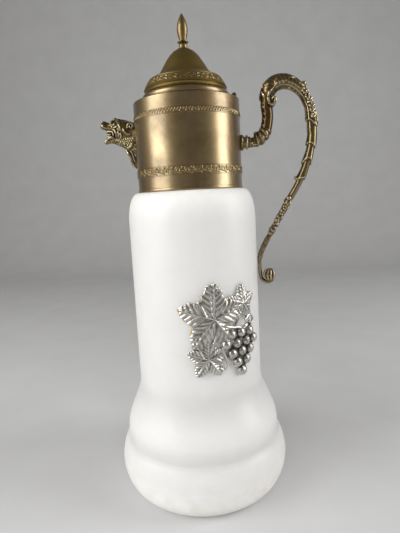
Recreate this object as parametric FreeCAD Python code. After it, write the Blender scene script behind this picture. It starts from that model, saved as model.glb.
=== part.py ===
import FreeCAD, Part
import math
import os

# Milk glass claret jug with a gilt brass mount: a blown glass body, a cemented collar with a
# beast-head spout, a cast scroll handle and a domed lid that hinges towards the handle.
# Millimetres. The origin is the centre of the base, +Z is up and +X points to the handle.

# Glass body, from the base up
BODY_R = 45.0
BELL_FLARE = 10.0
CREASE_W = 2.5
FOOT_BULGE = 4.5
FOOT_TUCK = 14.5
FOOT_LOW_H = 24.0
FOOT_HIGH_H = 20.8
BELL_RISE = 5.0
BELL_H = 34.0
BODY_H = 113.6
SHOULDER_H = 19.9
GLASS_WALL = 3.2
BASE_WALL = 6.0
NECK_WALL = 3.0
NECK_H = 22.0
ROUND_STEPS = 3

# Collar: a sleeve with a rolled rim below and a flat top plate with the mouth
COLLAR_R = 36.5
COLLAR_H = 59.6
COLLAR_WALL = 1.0
RIM_H = 2.2
RIM_BULGE = 0.4
RIM_SEAT = 1.3
TOP_PLATE = 1.0
TOP_EDGE = 0.4
MOUTH_INSET = 9.5
CEMENT_WALL = 2.2
CEMENT_H = 20.0
SOLDER_GAP = 0.05
THROUGH = 4.0

# Lid: a bead ring with a plug below it and a spun dome above it
LID_LIFT = 0.3
LID_OVERLAP = 2.9
BEAD_R = 2.9
MOUTH_PLAY = 1.4
BEZEL_WALL = 0.9
BEZEL_DROP = 6.2
SHEET = 0.9
LID_BAND_INSET = 3.7
LID_BAND_SLOPE = 2.6
LID_BAND_H = 6.6
CHANNEL_H = 2.4
CHANNEL_DEPTH = 0.9
LEDGE_W = 2.4
LEDGE_H = 1.5
DOME_TOP_R = 3.8
DOME_H = 19.9
DOME_BEND = ((0.26, 0.21), (0.56, 0.64), (0.79, 0.88))

# Finial, held by a nut under the dome
BOBBIN_R = 2.9
BOBBIN_H = 3.6
FINIAL_NECK_R = 1.8
FINIAL_NECK_H = 0.7
DISC_R = 3.8
DISC_H = 0.9
BUD_FOOT_R = 2.2
BUD_R = 3.7
BUD_BELLY = 6.4
BUD_H = 16.4
FINIAL_STUD_R = 1.5
FINIAL_WASHER_R = 3.8
FINIAL_WASHER_H = 0.8
FINIAL_NUT_AF = 5.5
FINIAL_NUT_H = 2.4
STUD_SPARE = 1.5
STUD_PLAY = 0.05

# Hinge on the collar's shoulder, under the handle's side of the lid
BARREL_R = 1.4
PIN_R = 0.7
PIN_PLAY = 0.03
PIN_STICKS_OUT = 0.3
LEAF_T = 0.6
LEAF_W = 3.2
LEAF_L = 19.0
LUG_W = 5.0
LUG_T = 1.8
KNUCKLE_W = 3.6
HINGE_PLAY = 0.2
RIVET_R = 0.7
RIVET_HEAD_R = 1.1
RIVET_HEAD_H = 0.5
RIVET_MARGIN = 1.6

# Handle. The loop is set out from the collar's face and the stud's height, the tail from the
# glass's side: reach, rise and the width of the casting there.
HANDLE_RISE = 31.0
SADDLE_R = 6.5
SADDLE_T = 2.1
FLANGE_NECK_R = 4.6
FLANGE_NECK_T = 1.3
FLANGE_R = 6.2
FLANGE_T = 1.7
HANDLE_DEPTH_RATIO = 1.12
CORNER_COUNT = 14
KNOB_CORNER_COUNT = 8
HANDLE_LOOP = (
    (4.5, 0.0, 6.2),
    (8.5, -0.2, 6.6),
    (13.1, 1.7, 7.4),
    (17.1, 7.0, 7.8),
    (18.9, 15.8, 7.5),
    (18.3, 23.8, 8.0),
    (19.1, 30.8, 9.0),
    (22.5, 36.0, 9.5),
    (28.1, 38.1, 9.0),
    (34.1, 37.1, 8.0),
    (39.3, 33.6, 6.8),
    (43.9, 28.1, 6.2),
    (47.2, 19.6, 6.4),
    (48.6, 8.8, 6.6),
    (47.9, -2.6, 6.2),
    (44.4, -16.2, 5.8),
    (39.1, -28.8, 5.0),
)
HANDLE_TAIL = (
    (23.8, -40.4, 3.8),
    (14.8, -56.0, 3.2),
    (7.2, -68.8, 3.2),
    (2.7, -78.6, 2.8),
    (1.9, -86.8, 2.6),
)
CURL_REACH = 7.7
CURL_DROP = 94.2
CURL_START_R = 5.0
CURL_END_R = 2.4
CURL_START_ANGLE = 190.0
CURL_TURN = 216.0
CURL_STEP = 36.0
CURL_START_W = 2.6
CURL_END_W = 4.4
CURL_BUD_R = 3.6
VOLUTE_REACH = 21.9
VOLUTE_RISE = 25.8
VOLUTE_R = 3.1
VOLUTE_DEPTH = 10.2
BOSS_REACH = 17.1
BOSS_RISE = 35.4
BOSS_R = 2.3
KNOB_REACH = 43.2
KNOB_RISE = 35.6
KNOB_R = 1.8
SHEATH_PLACES = (13, 14, 15, 16)
SHEATH_L = 7.0
SHEATH_FLARE = 1.8
SHEATH_SUNK = 0.6
STUD_R = 2.0
STUD_SEAT = 5.0
STUD_WASHER_R = 5.0
STUD_WASHER_T = 1.6
STUD_NUT_AF = 7.0
STUD_NUT_H = 3.2
NUT_CORNER_COUNT = 6

# Spout: a beast's head with open jaws. Sections are set out from the collar's face and the
# channel's height: reach, rise and half height. Each stack has one ratio of width to height.
SPOUT_RISE = 41.1
CHANNEL_R = 3.4
SPOUT_NECK = ((-3.5, -2.6, 10.2), (4.0, -0.6, 8.7), (9.5, 2.6, 8.2), (15.0, 5.2, 5.6))
SPOUT_NECK_RATIO = 0.84
SNOUT = ((10.0, 5.6, 4.9), (16.0, 6.4, 3.9), (20.5, 6.9, 2.9), (23.7, 7.9, 3.0), (25.5, 8.6, 1.8))
SNOUT_RATIO = 0.94
JAW = ((6.5, -5.6, 5.4), (12.4, -3.2, 4.0), (17.8, -2.2, 2.1), (21.0, -3.0, 1.4), (23.8, -3.7, 0.7))
JAW_RATIO = 1.3
LINING = ((9.0, 0.0, 5.4), (21.8, 0.0, 4.2))
LINING_RATIO = 0.96
BROW_REACH = 13.9
BROW_RISE = 9.2
BROW_SIDE = 3.2
BROW_R = 2.8
EAR_REACH = 2.2
EAR_RISE = 4.9
EAR_SIDE = 6.2
EAR_R = 2.7
TONGUE = ((6.0, 10.6), (11.0, 7.7), (16.5, 4.6), (21.0, 3.2), (23.2, 1.6))
TONGUE_RATIO = 0.74

# Appliqué on the glass: vine leaves and a bunch of grapes on a bed of cement. A leaf is given by
# its place to the side and up, its radius and its thickness.
BADGE_ANGLE = -60.0
BADGE_RISE = 42.0
LEAVES = ((-8.5, 9.5, 19.0, 1.5), (12.5, 17.0, 10.5, 1.1), (-13.0, -17.0, 11.5, 1.1))
LEAF_LOBES = 5
LOBE_POINTS = 2
GRAPE_CORNER_COUNT = 8
LEAF_LOBE_SHARE = 0.22
BUNCH_T = 1.3
GRAPE_R = 4.3
GRAPE_T = 3.0
GRAPE_SUNK = 0.3
GRAPE_PITCH = 7.4
GRAPE_ROWS = (3, 4, 3, 2, 1)
GRAPE_SIDE = 10.5
GRAPE_RISE = -2.5
CEMENT_T = 0.6
CEMENT_INSET = 1.0

# Radii and heights that follow from the sizes above
BELL_R = BODY_R + BELL_FLARE
CREASE_R = BELL_R + CREASE_W
FOOT_R = CREASE_R + FOOT_BULGE
BASE_R = FOOT_R - FOOT_TUCK
CREASE_Z = FOOT_LOW_H + FOOT_HIGH_H
BELL_Z = CREASE_Z + BELL_RISE
WAIST_Z = BELL_Z + BELL_H
SHOULDER_Z = WAIST_Z + BODY_H
COLLAR_Z = SHOULDER_Z + SHOULDER_H
TOP_Z = COLLAR_Z + COLLAR_H
COLLAR_BORE = COLLAR_R - COLLAR_WALL
NECK_R = COLLAR_BORE - CEMENT_WALL
MOUTH_R = COLLAR_R - MOUTH_INSET
LID_R = MOUTH_R + LID_OVERLAP
BEZEL_R = MOUTH_R - MOUTH_PLAY
LID_Z = TOP_Z + LID_LIFT
DOME_Z = LID_Z + 2 * BEAD_R
LID_BAND_Z = DOME_Z + CHANNEL_H
LID_BAND_TOP_Z = LID_BAND_Z + LID_BAND_H
LEDGE_Z = LID_BAND_TOP_Z + LEDGE_H
DOME_TOP_Z = LEDGE_Z + DOME_H
LID_BAND_R = LID_R - LID_BAND_INSET
LID_BAND_TOP_R = LID_BAND_R - LID_BAND_SLOPE
LEDGE_R = LID_BAND_TOP_R - LEDGE_W
HINGE_X = (LID_R + COLLAR_R) / 2
HINGE_Z = TOP_Z + LEAF_T + HINGE_PLAY + BARREL_R
HANDLE_Z = COLLAR_Z + HANDLE_RISE
SADDLE_X = COLLAR_R + SADDLE_T
FLANGE_X = SADDLE_X + FLANGE_NECK_T
SPOUT_Z = COLLAR_Z + SPOUT_RISE
BADGE_Z = WAIST_Z + BADGE_RISE
BADGE_BED_R = BODY_R + CEMENT_T
GRAPE_ROW_PITCH = GRAPE_PITCH * math.sqrt(3) / 2

V = FreeCAD.Vector
ORIGIN = V(0, 0, 0)
OUT = V(1, 0, 0)
ACROSS = V(0, 1, 0)
UP = V(0, 0, 1)


def quarter(start, corner, end):
    """Points of a quarter ellipse after start, tangent to the sides that meet in corner."""
    points = []
    for k in range(1, ROUND_STEPS + 1):
        angle = math.pi / 2 * k / ROUND_STEPS
        towards_end = 1 - math.cos(angle)
        back_to_start = 1 - math.sin(angle)
        towards_corner = 1 - towards_end - back_to_start
        radius = back_to_start * start[0] + towards_corner * corner[0] + towards_end * end[0]
        height = back_to_start * start[1] + towards_corner * corner[1] + towards_end * end[1]
        points.append((radius, height))
    return points


def ogee(start, end):
    """Points of an S-curve after start, upright at both ends."""
    points = []
    for k in range(1, ROUND_STEPS + 2):
        share = k / (ROUND_STEPS + 1)
        ease = share * share * (3 - 2 * share)
        points.append((start[0] + (end[0] - start[0]) * ease, start[1] + (end[1] - start[1]) * share))
    return points


def bulge(start, end, height):
    """Points of a rounded edge after start, bowed out by height."""
    points = []
    for k in range(1, ROUND_STEPS + 1):
        angle = math.pi * k / ROUND_STEPS
        share = (1 - math.cos(angle)) / 2
        out = height * math.sin(angle)
        points.append((start[0] + (end[0] - start[0]) * share + out, start[1] + (end[1] - start[1]) * share))
    return points


def turned(outline):
    """Solid turned about the jug's axis from a closed outline of radius and height."""
    points = [V(radius, 0, height) for radius, height in outline]
    return Part.Face(closed(points)).revolve(ORIGIN, UP, 360)


def cylinder(radius, low, high):
    return Part.makeCylinder(radius, high - low, V(0, 0, low))


def ring(centre, first, second, corners):
    """Points spread round the oval with these two half axes."""
    points = []
    for k in range(corners):
        angle = 2 * math.pi * k / corners
        points.append(centre + first * math.cos(angle) + second * math.sin(angle))
    return points


def closed(points):
    return Part.makePolygon(points + points[:1])


def stacked(rings):
    """Solid with flat faces through rings of points that differ in size and place only."""
    faces = [Part.Face(closed(rings[0])), Part.Face(closed(rings[-1]))]
    for low, high in zip(rings, rings[1:]):
        for k in range(len(low)):
            faces.append(Part.Face(closed([low[k - 1], low[k], high[k], high[k - 1]])))
    return Part.makeSolid(Part.makeShell(faces))


def nut(across_flats, height, hole_r, seat, direction):
    """Hexagon nut with its seat at a point, standing along direction."""
    corner_r = across_flats / math.sqrt(3)
    outline = closed(ring(ORIGIN, OUT * corner_r, ACROSS * corner_r, NUT_CORNER_COUNT))
    body = Part.Face(outline).extrude(UP * height).cut(Part.makeCylinder(hole_r, height))
    body.Placement = FreeCAD.Placement(seat, FreeCAD.Rotation(UP, direction))
    return body


def knob(centre, radius):
    """Small cast ball with a few flats."""
    rings = []
    for k in range(1, KNOB_CORNER_COUNT // 2):
        angle = 2 * math.pi * k / KNOB_CORNER_COUNT
        level = centre - ACROSS * (radius * math.cos(angle))
        level_r = radius * math.sin(angle)
        rings.append(ring(level, OUT * level_r, UP * level_r, KNOB_CORNER_COUNT))
    return stacked(rings)


def joined(shapes):
    return shapes[0].fuse(shapes[1:])


def glass_body():
    """Blown body: flat base, bulged foot, crease, bell, straight body, shoulder and neck."""
    seat_r = COLLAR_R + RIM_SEAT
    lip_z = COLLAR_Z + NECK_H
    outside = [(0, 0), (BASE_R, 0)]
    outside += quarter((BASE_R, 0), (FOOT_R, 0), (FOOT_R, FOOT_LOW_H))
    outside += quarter((FOOT_R, FOOT_LOW_H), (FOOT_R, CREASE_Z), (CREASE_R, CREASE_Z))
    outside.append((BELL_R, BELL_Z))
    outside += ogee((BELL_R, BELL_Z), (BODY_R, WAIST_Z))
    outside.append((BODY_R, SHOULDER_Z))
    outside += quarter((BODY_R, SHOULDER_Z), (BODY_R, COLLAR_Z), (seat_r, COLLAR_Z))
    outside += [(NECK_R, COLLAR_Z), (NECK_R, lip_z), (0, lip_z)]
    bore_r = NECK_R - NECK_WALL
    room_r = BODY_R - GLASS_WALL
    inside = [(0, BASE_WALL), (BASE_R - GLASS_WALL, BASE_WALL), (FOOT_R - GLASS_WALL, FOOT_LOW_H)]
    inside += [(room_r, WAIST_Z), (room_r, SHOULDER_Z), (bore_r, COLLAR_Z - GLASS_WALL)]
    inside += [(bore_r, lip_z), (0, lip_z)]
    return turned(outside).cut(turned(inside))


def neck_cement():
    inner = NECK_R + SOLDER_GAP
    outer = COLLAR_BORE - SOLDER_GAP
    top = COLLAR_Z + CEMENT_H
    return turned([(inner, COLLAR_Z), (outer, COLLAR_Z), (outer, top), (inner, top)])


def collar_filled():
    """Outside of the sleeve with its rolled rim, not yet bored."""
    return turned([
        (0, COLLAR_Z),
        (COLLAR_R, COLLAR_Z),
        (COLLAR_R + RIM_BULGE, COLLAR_Z + RIM_H / 2),
        (COLLAR_R, COLLAR_Z + RIM_H),
        (COLLAR_R, TOP_Z - TOP_PLATE),
        (0, TOP_Z - TOP_PLATE),
    ])


def collar():
    reach = COLLAR_R + THROUGH
    bore = cylinder(COLLAR_BORE, COLLAR_Z, TOP_Z)
    pouring_hole = Part.makeCylinder(CHANNEL_R, reach, V(0, 0, SPOUT_Z), -OUT)
    stud_hole = Part.makeCylinder(STUD_R + STUD_PLAY, reach, V(0, 0, HANDLE_Z), OUT)
    return collar_filled().cut([bore, pouring_hole, stud_hole])


def collar_top():
    """Flat shoulder ring on the sleeve, with the mouth in its middle."""
    low = TOP_Z - TOP_PLATE
    edge = [(COLLAR_R, TOP_Z - TOP_EDGE), (COLLAR_R - TOP_EDGE, TOP_Z)]
    return turned([(MOUTH_R, low), (COLLAR_R, low)] + edge + [(MOUTH_R, TOP_Z)]).cut(rivet_holes())


def spout_stack(sections, width):
    """Solid through sections that stand across the spout, all with one ratio of width to height."""
    rings = []
    for reach, rise, half_height in sections:
        centre = V(-COLLAR_R - reach, 0, SPOUT_Z + rise)
        rings.append(ring(centre, UP * half_height, ACROSS * (half_height * width), CORNER_COUNT))
    return stacked(rings)


def spout_leaf():
    """Leaf under the head, standing out less and less as it runs down the collar."""
    rings = []
    for drop, reach in TONGUE:
        centre = V(-COLLAR_R, 0, SPOUT_Z - drop)
        rings.append(ring(centre, OUT * -reach, ACROSS * (reach * TONGUE_RATIO), CORNER_COUNT))
    return stacked(rings)


def spout_head():
    """Cast beast's head: neck, snout, jaw, brows, ears and a leaf that runs down the collar."""
    pieces = [
        spout_stack(SPOUT_NECK, SPOUT_NECK_RATIO),
        spout_stack(SNOUT, SNOUT_RATIO),
        spout_stack(JAW, JAW_RATIO),
        spout_stack(LINING, LINING_RATIO),
        spout_leaf(),
    ]
    for side in (-1, 1):
        pieces.append(knob(V(-COLLAR_R - BROW_REACH, side * BROW_SIDE, SPOUT_Z + BROW_RISE), BROW_R))
        pieces.append(knob(V(-COLLAR_R - EAR_REACH, side * EAR_SIDE, SPOUT_Z + EAR_RISE), EAR_R))
    inside = collar_filled()
    length = COLLAR_R + LINING[-1][0] + THROUGH
    channel = Part.makeCylinder(CHANNEL_R, length, V(0, 0, SPOUT_Z), -OUT)
    return joined([piece.cut(inside) for piece in pieces]).cut(channel)


def handle_saddle():
    """Washer whose back follows the collar, with a neck that carries the handle's flange."""
    disc = Part.makeCylinder(SADDLE_R, SADDLE_X, V(0, 0, HANDLE_Z), OUT)
    neck = Part.makeCylinder(FLANGE_NECK_R, FLANGE_X, V(0, 0, HANDLE_Z), OUT)
    hole = Part.makeCylinder(STUD_R + STUD_PLAY, FLANGE_X + THROUGH, V(0, 0, HANDLE_Z), OUT)
    return disc.fuse(neck).cut([collar_filled(), hole])


def handle_line():
    """Centre points of the handle's casting with the width at each."""
    places = []
    for reach, rise, width in HANDLE_LOOP:
        places.append((V(COLLAR_R + reach, 0, HANDLE_Z + rise), width))
    for reach, rise, width in HANDLE_TAIL:
        places.append((V(BODY_R + reach, 0, HANDLE_Z + rise), width))
    steps = round(CURL_TURN / CURL_STEP)
    for k in range(steps + 1):
        share = k / steps
        angle = math.radians(CURL_START_ANGLE + CURL_TURN * share)
        radius = CURL_START_R + (CURL_END_R - CURL_START_R) * share
        centre = V(BODY_R + CURL_REACH, 0, HANDLE_Z - CURL_DROP)
        width = CURL_START_W + (CURL_END_W - CURL_START_W) * share
        places.append((centre + V(radius * math.cos(angle), 0, radius * math.sin(angle)), width))
    return places


def handle_section(point, along, width):
    across = ACROSS * (width * HANDLE_DEPTH_RATIO / 2)
    return closed(ring(point, across, ACROSS.cross(along) * (width / 2), CORNER_COUNT))


def handle():
    """Cast S-scroll: flange, leafy loop with a rolled volute, sheathed stem and end curl."""
    places = handle_line()
    middle = Part.BSplineCurve()
    middle.interpolate([point for point, width in places])
    sections = []
    pieces = []
    for k, (point, width) in enumerate(places):
        along = middle.tangent(middle.parameter(point))[0]
        sections.append(handle_section(point, along, width))
        if k in SHEATH_PLACES:
            sunk = handle_section(point - along * SHEATH_L, along, width - SHEATH_SUNK)
            flared = handle_section(point, along, width + SHEATH_FLARE)
            pieces.append(Part.makeLoft([sunk, flared], True, True))
    pieces.append(Part.makeCylinder(FLANGE_R, FLANGE_T, V(FLANGE_X, 0, HANDLE_Z), OUT))
    roll = V(COLLAR_R + VOLUTE_REACH, -VOLUTE_DEPTH / 2, HANDLE_Z + VOLUTE_RISE)
    pieces.append(Part.makeCylinder(VOLUTE_R, VOLUTE_DEPTH, roll, ACROSS))
    pieces.append(knob(V(COLLAR_R + BOSS_REACH, 0, HANDLE_Z + BOSS_RISE), BOSS_R))
    pieces.append(knob(V(COLLAR_R + KNOB_REACH, 0, HANDLE_Z + KNOB_RISE), KNOB_R))
    pieces.append(knob(places[-1][0], CURL_BUD_R))
    seat = Part.makeCylinder(STUD_R + STUD_PLAY, STUD_SEAT, V(FLANGE_X, 0, HANDLE_Z), OUT)
    stem = Part.makeLoft(sections, True, True)
    return joined([stem] + pieces).cut(seat)


def stud_washer():
    start = V(COLLAR_BORE - STUD_WASHER_T, 0, HANDLE_Z)
    disc = Part.makeCylinder(STUD_WASHER_R, STUD_WASHER_T, start, OUT)
    hole = Part.makeCylinder(STUD_R + STUD_PLAY, STUD_WASHER_T, start, OUT)
    return disc.common(cylinder(COLLAR_BORE, COLLAR_Z, TOP_Z)).cut(hole)


def stud_nut():
    seat = V(COLLAR_BORE - STUD_WASHER_T, 0, HANDLE_Z)
    return nut(STUD_NUT_AF, STUD_NUT_H, STUD_R + STUD_PLAY, seat, -OUT)


def handle_stud():
    start = COLLAR_BORE - STUD_WASHER_T - STUD_NUT_H - STUD_SPARE
    return Part.makeCylinder(STUD_R, FLANGE_X + STUD_SEAT - start, V(start, 0, HANDLE_Z), OUT)


def lid_ring():
    """Turned ring with a half-round bead, bored for the plug."""
    bore = BEZEL_R + SOLDER_GAP
    bead_r = LID_R - BEAD_R
    outline = [(bore, DOME_Z), (bore, LID_Z), (bead_r, LID_Z)]
    outline += bulge((bead_r, LID_Z), (bead_r, DOME_Z), BEAD_R)
    return turned(outline)


def lid_bezel():
    """Plug under the lid that drops into the mouth."""
    low = LID_Z - BEZEL_DROP
    inner = BEZEL_R - BEZEL_WALL
    return turned([(inner, low), (BEZEL_R, low), (BEZEL_R, DOME_Z), (inner, DOME_Z)])


def bell_line():
    """Points of the lid's bell from the ledge up to its last bend."""
    points = [(LEDGE_R, LEDGE_Z)]
    for inward, upward in DOME_BEND:
        points.append((LEDGE_R + (DOME_TOP_R - LEDGE_R) * inward, LEDGE_Z + DOME_H * upward))
    return points


def lid_dome():
    """Spun cap of thin sheet: hollow channel, sloped band, ledge and a bell that rises to a flat top."""
    outside = [(0, DOME_Z), (LID_BAND_R, DOME_Z)]
    outside.append((LID_BAND_R - CHANNEL_DEPTH, (DOME_Z + LID_BAND_Z) / 2))
    outside += [(LID_BAND_R, LID_BAND_Z), (LID_BAND_TOP_R, LID_BAND_TOP_Z)]
    outside += bell_line() + [(DOME_TOP_R, DOME_TOP_Z), (0, DOME_TOP_Z)]
    wall_r = LID_BAND_R - CHANNEL_DEPTH - SHEET
    offset = SHEET / math.sqrt(2)
    inside = [(0, DOME_Z), (wall_r, DOME_Z), (wall_r, LID_BAND_Z)]
    inside += [(radius - offset, height - offset) for radius, height in bell_line()]
    inside += [(DOME_TOP_R, DOME_TOP_Z - SHEET), (0, DOME_TOP_Z - SHEET)]
    hole = cylinder(FINIAL_STUD_R + STUD_PLAY, DOME_Z, DOME_TOP_Z)
    return turned(outside).cut([turned(inside), hole])


def finial():
    """Pointed bud on a disc and a bobbin, with a stud through the dome."""
    stud_low = DOME_TOP_Z - SHEET - FINIAL_WASHER_H - FINIAL_NUT_H - STUD_SPARE
    neck_z = DOME_TOP_Z + BOBBIN_H
    disc_z = neck_z + FINIAL_NECK_H
    bud_z = disc_z + DISC_H
    return turned([
        (0, stud_low),
        (FINIAL_STUD_R, stud_low),
        (FINIAL_STUD_R, DOME_TOP_Z),
        (BOBBIN_R, DOME_TOP_Z),
        (BOBBIN_R, neck_z),
        (FINIAL_NECK_R, neck_z),
        (FINIAL_NECK_R, disc_z),
        (DISC_R, disc_z),
        (DISC_R, bud_z),
        (BUD_FOOT_R, bud_z),
        (BUD_R, bud_z + BUD_BELLY),
        (0, bud_z + BUD_H),
    ])


def finial_washer():
    high = DOME_TOP_Z - SHEET
    low = high - FINIAL_WASHER_H
    hole_r = FINIAL_STUD_R + STUD_PLAY
    return turned([(hole_r, low), (FINIAL_WASHER_R, low), (FINIAL_WASHER_R, high), (hole_r, high)])


def finial_nut():
    seat = V(0, 0, DOME_TOP_Z - SHEET - FINIAL_WASHER_H)
    return nut(FINIAL_NUT_AF, FINIAL_NUT_H, FINIAL_STUD_R + STUD_PLAY, seat, -UP)


def rivet_places():
    return [V(HINGE_X, side * (LEAF_L / 2 - RIVET_MARGIN), TOP_Z) for side in (-1, 1)]


def rivet_holes():
    hole_r = RIVET_R + PIN_PLAY
    return [Part.makeCylinder(hole_r, TOP_PLATE + LEAF_T, p - UP * TOP_PLATE) for p in rivet_places()]


def hinge_rivets():
    """Two rivets through the leaf and the shoulder, hammered flush below."""
    rivets = []
    for place in rivet_places():
        shank = Part.makeCylinder(RIVET_R, TOP_PLATE + LEAF_T, place - UP * TOP_PLATE)
        upper = Part.makeCylinder(RIVET_HEAD_R, RIVET_HEAD_H, place + UP * LEAF_T)
        rivets.append(joined([shank, upper]))
    return Part.makeCompound(rivets)


def barrel(radius, low_y, high_y):
    return Part.makeCylinder(radius, high_y - low_y, V(HINGE_X, low_y, HINGE_Z), ACROSS)


def hinge_collar_leaf():
    """Leaf on the shoulder with a knuckle at each side of the lid's lug."""
    inner_y = LUG_W / 2 + HINGE_PLAY
    outer_y = inner_y + KNUCKLE_W
    pieces = [Part.makeBox(LEAF_W, LEAF_L, LEAF_T, V(HINGE_X - LEAF_W / 2, -LEAF_L / 2, TOP_Z))]
    for low_y in (-outer_y, inner_y):
        pieces.append(barrel(BARREL_R, low_y, low_y + KNUCKLE_W))
        corner = V(HINGE_X - BARREL_R, low_y, TOP_Z)
        pieces.append(Part.makeBox(2 * BARREL_R, KNUCKLE_W, HINGE_Z - TOP_Z, corner))
    holes = rivet_holes() + [barrel(PIN_R + PIN_PLAY, -outer_y, outer_y)]
    return joined(pieces).cut(holes)


def hinge_lid_lug():
    """Lug soldered to the lid's bead, with the middle knuckle."""
    start = LID_R - BEAD_R
    arm = Part.makeBox(HINGE_X - start, LUG_W, LUG_T, V(start, -LUG_W / 2, HINGE_Z - LUG_T / 2))
    knuckle = barrel(BARREL_R, -LUG_W / 2, LUG_W / 2)
    return joined([arm, knuckle]).cut([lid_ring(), barrel(PIN_R + PIN_PLAY, -LUG_W / 2, LUG_W / 2)])


def hinge_pin():
    end_y = LUG_W / 2 + HINGE_PLAY + KNUCKLE_W + PIN_STICKS_OUT
    return barrel(PIN_R, -end_y, end_y)


def badge_point(side, rise):
    """Point in the plane that faces the appliqué, through the jug's axis."""
    angle = math.radians(BADGE_ANGLE)
    return V(-side * math.sin(angle), side * math.cos(angle), BADGE_Z + rise)


def badge_layer(outline, thickness, bed_r):
    """Outline carried out to the glass and kept as a curved layer on the bed radius."""
    angle = math.radians(BADGE_ANGLE)
    outward = V(math.cos(angle), math.sin(angle), 0)
    prism = Part.Face(outline).extrude(outward * (bed_r + thickness))
    layer = cylinder(bed_r + thickness, WAIST_Z, SHOULDER_Z).cut(cylinder(bed_r, WAIST_Z, SHOULDER_Z))
    return prism.common(layer)


def grape(side, rise):
    """Grape that stands straight out from the glass at its own place, sunk in the plate."""
    turn = FreeCAD.Rotation(UP, BADGE_ANGLE + math.degrees(side / BADGE_BED_R))
    low = turn.multVec(OUT * (BADGE_BED_R + GRAPE_SUNK)) + UP * (BADGE_Z + rise)
    outline = closed(ring(low, turn.multVec(ACROSS * GRAPE_R), UP * GRAPE_R, GRAPE_CORNER_COUNT))
    return Part.Face(outline).extrude(turn.multVec(OUT * (GRAPE_T - GRAPE_SUNK)))


def leaf_outline(leaf_side, leaf_rise, leaf_r):
    """Five-lobed outline of a leaf."""
    points = []
    count = 2 * LOBE_POINTS * LEAF_LOBES
    for k in range(count):
        angle = 2 * math.pi * k / count
        reach = leaf_r * (1 + LEAF_LOBE_SHARE * math.sin(LEAF_LOBES * angle))
        points.append(badge_point(leaf_side + reach * math.cos(angle), leaf_rise + reach * math.sin(angle)))
    return closed(points)


def bunch_outline(inset):
    """Plate under the grapes that steps in with their rows, drawn in by an inset."""
    right = []
    left = []
    for row, number in enumerate(GRAPE_ROWS):
        rise = GRAPE_RISE - row * GRAPE_ROW_PITCH
        half_width = GRAPE_PITCH * number / 2 - inset
        right.append(badge_point(GRAPE_SIDE + half_width, rise))
        left.insert(0, badge_point(GRAPE_SIDE - half_width, rise))
    return closed(right + left)


def badge():
    """Vine leaves with a bunch of grapes, cast in one."""
    pieces = [badge_layer(bunch_outline(0), BUNCH_T, BADGE_BED_R)]
    for side, rise, radius, thickness in LEAVES:
        pieces.append(badge_layer(leaf_outline(side, rise, radius), thickness, BADGE_BED_R))
    for row, number in enumerate(GRAPE_ROWS):
        for k in range(number):
            side = GRAPE_SIDE + (k - (number - 1) / 2) * GRAPE_PITCH
            pieces.append(grape(side, GRAPE_RISE - row * GRAPE_ROW_PITCH))
    return joined(pieces)


def badge_cement():
    """Bed of cement that stops short of the casting's edges."""
    outlines = [bunch_outline(CEMENT_INSET)]
    for side, rise, radius, thickness in LEAVES:
        outlines.append(leaf_outline(side, rise, radius - CEMENT_INSET))
    return joined([badge_layer(outline, CEMENT_T - SOLDER_GAP, BODY_R + SOLDER_GAP) for outline in outlines])


SUB_PARTS = (
    glass_body,
    neck_cement,
    collar,
    collar_top,
    spout_head,
    handle_saddle,
    handle,
    handle_stud,
    stud_washer,
    stud_nut,
    lid_ring,
    lid_bezel,
    lid_dome,
    finial,
    finial_washer,
    finial_nut,
    hinge_collar_leaf,
    hinge_lid_lug,
    hinge_pin,
    hinge_rivets,
    badge,
    badge_cement,
)

os.makedirs("parts", exist_ok=True)
for make in SUB_PARTS:
    make().exportStep("parts/" + make.__name__ + ".step")
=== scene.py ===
import bpy
import bisect
import bmesh
import math
import random
from mathutils import Matrix, Vector
from mathutils.bvhtree import BVHTree


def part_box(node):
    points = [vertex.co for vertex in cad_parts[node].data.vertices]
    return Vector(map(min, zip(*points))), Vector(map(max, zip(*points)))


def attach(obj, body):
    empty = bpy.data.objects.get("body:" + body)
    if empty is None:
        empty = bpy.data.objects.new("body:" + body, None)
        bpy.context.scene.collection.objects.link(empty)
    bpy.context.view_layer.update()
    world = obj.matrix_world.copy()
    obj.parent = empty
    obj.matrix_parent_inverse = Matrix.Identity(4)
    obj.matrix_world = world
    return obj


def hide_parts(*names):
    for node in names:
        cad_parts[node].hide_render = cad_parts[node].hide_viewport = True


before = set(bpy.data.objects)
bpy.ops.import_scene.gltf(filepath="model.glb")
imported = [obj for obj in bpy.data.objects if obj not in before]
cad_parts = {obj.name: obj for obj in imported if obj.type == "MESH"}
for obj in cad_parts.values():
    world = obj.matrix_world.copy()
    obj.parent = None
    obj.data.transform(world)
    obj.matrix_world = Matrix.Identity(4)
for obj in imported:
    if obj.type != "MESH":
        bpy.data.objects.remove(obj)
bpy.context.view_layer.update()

# Glass body
# A blown jug of opaque white opal glass with an etched satin skin. It has a bulged foot, a soft
# crease above it and a bell that runs into the straight body; the neck is cemented in the collar.
MM = 0.001
GLASS_WALL = 3.2
GLASS_FLOOR = 6.0
GLASS_TURN = 224
BASE_R = 47.5
FOOT_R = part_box("glass_body")[1][1] / MM
FOOT_Z = 24.0
CREASE_LINE = ((61.0, 30.0), (59.4, 35.1), (57.7, 38.4), (56.6, 41.2))
BELL_R = 56.2
BELL_Z = 46.5
BODY_R = 45.0
WAIST_Z = 83.8
SHOULDER_Z = 197.4
COLLAR_Z = 217.3
SEAT_R = 37.8
NECK_R = 33.3
NECK_WALL = 3.0
NECK_TOP_Z = 239.3
BELL_STEPS = 18
TURNED_EDGE = 35.0


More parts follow.
